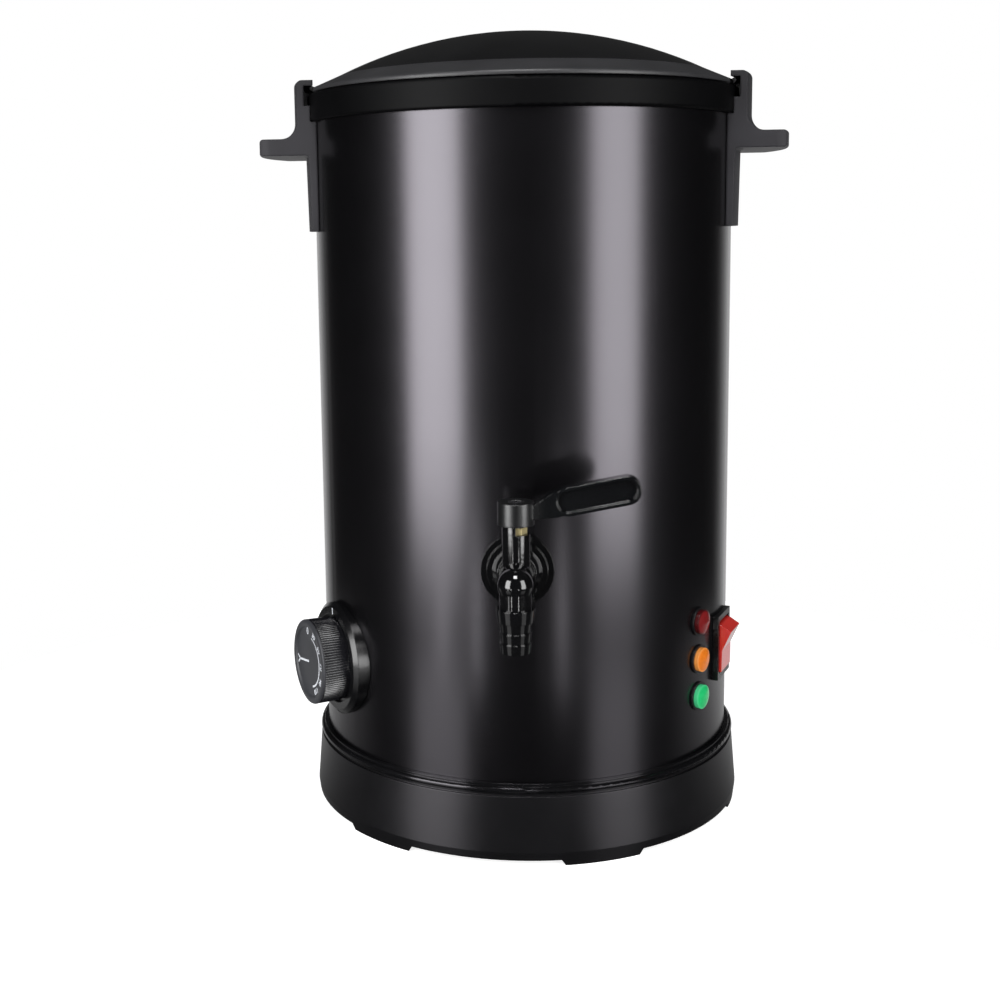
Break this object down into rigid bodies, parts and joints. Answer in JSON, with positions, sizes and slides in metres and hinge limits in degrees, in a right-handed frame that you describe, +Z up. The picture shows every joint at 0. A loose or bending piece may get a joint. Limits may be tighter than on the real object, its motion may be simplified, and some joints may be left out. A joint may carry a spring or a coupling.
{
  "type": "electric wax melter",
  "caption": "Upright electric melting pot with a domed lid, hooked side handles, front tap, thermostat knob, indicator lamps and a rocker switch.",
  "frame": {"origin": "body axis on the plane that the feet stand on", "axes": "+Z up along the body axis, -Y towards the tap, +Y towards the power inlet, +X towards the right-hand handle"},
  "size_m": [0.277, 0.2684, 0.4104],
  "materials": {
    "shell_black": "satin powder coat",
    "base_black": "fine satin moulding",
    "collar_black": "satin moulding",
    "lid_black": "satin moulding",
    "handle_black": "satin moulding",
    "tap_black": "gloss moulding",
    "lever_black": "gloss moulding",
    "gland_brass": "machined",
    "pot_metal": "spun, fine turning marks",
    "sheet_steel": "plain sheet",
    "fastener_steel": "zinc plated",
    "element_steel": "heat tinted",
    "stem_steel": "turned",
    "seal_rubber": "matt silicone",
    "nut_black": "moulded nylon",
    "seat_white": "waxy white",
    "wool": "mineral wool",
    "knob_black": "satin moulding with flutes",
    "dial_black": "semi gloss moulding",
    "control_case": "cream phenolic",
    "terminal_metal": "nickel plated",
    "lens_red": "tinted lens, unlit",
    "lens_amber": "tinted lens, glowing",
    "lens_green": "tinted lens, glowing",
    "lamp_rim": "gloss moulding",
    "switch_black": "semi gloss moulding",
    "rocker_red": "gloss moulding",
    "wire_brown": "insulated wire",
    "wire_blue": "insulated wire"
  },
  "bodies": {
    "housing": {"ball_seats": "seat_white", "base_ring": "base_black", "bottom_plate": "sheet_steel", "bottom_screws": "fastener_steel", "bulb_clip": "sheet_steel", "centre_stud": "sheet_steel", "dial_plate": "dial_black", "dial_screws": "fastener_steel", "gland_nut": "gland_brass", "handle_left": "handle_black", "handle_right": "handle_black", "handle_screws": "fastener_steel", "heat_shield": "sheet_steel", "heater_element": "element_steel", "heater_plate": "pot_metal", "inlet_nuts": "fastener_steel", "inlet_pins": "terminal_metal", "inlet_screws": "fastener_steel", "inner_pot": "pot_metal", "lamp_holder_amber": "lamp_rim", "lamp_holder_green": "lamp_rim", "lamp_holder_red": "lamp_rim", "lamp_lens_amber": "lens_amber", "lamp_lens_green": "lens_green", "lamp_lens_red": "lens_red", "lamp_nuts": "nut_black", "lamp_terminals": "terminal_metal", "live_wires": "wire_brown", "neutral_wires": "wire_blue", "outer_shell": "shell_black", "pot_insulation": "wool", "power_inlet": "switch_black", "sensor_capillary": "element_steel", "stud_nuts": "fastener_steel", "switch_housing": "switch_black", "switch_terminals": "terminal_metal", "tap_body": "tap_black", "tap_inner_washer": "seal_rubber", "tap_locknut": "nut_black", "tap_nozzle": "tap_black", "tap_outer_washer": "seal_rubber", "terminal_block": "seat_white", "thermal_cutout": "control_case", "thermostat_body": "control_case", "thermostat_terminals": "terminal_metal", "top_collar": "collar_black"},
    "seal": {"lid_seal": "seal_rubber"},
    "lid": {"lid": "lid_black"},
    "tap_handle": {"tap_lever": "lever_black", "lever_screw": "fastener_steel", "tap_stem": "stem_steel", "tap_ball": "stem_steel"},
    "knob": {"thermostat_knob": "knob_black", "thermostat_shaft": "stem_steel"},
    "rocker": {"switch_rocker": "rocker_red"}
  },
  "joints": [
    {"name": "lid_lift", "type": "slide", "parent": "housing", "child": "seal", "axis": [0, 0, 1], "range_m": [0, 0.15]},
    {"name": "lid_turn", "type": "hinge", "parent": "seal", "child": "lid", "pos_m": [0, 0, 0.3795], "axis": [0, 0, 1], "range_deg": [-25, 0]},
    {"name": "tap_turn", "type": "hinge", "parent": "housing", "child": "tap_handle", "pos_m": [0, -0.13, 0.1743], "axis": [0, 0, 1], "range_deg": [-90, 0]},
    {"name": "knob_turn", "type": "hinge", "parent": "housing", "child": "knob", "pos_m": [-0.09899, -0.05854, 0.0871], "axis": [-0.8607, -0.509, 0], "range_deg": [-90, 165]},
    {"name": "rocker_tilt", "type": "hinge", "parent": "housing", "child": "rocker", "pos_m": [0.10045, -0.03537, 0.0912], "axis": [0.3322, 0.9432, 0], "range_deg": [-25, 0]}
  ]
}
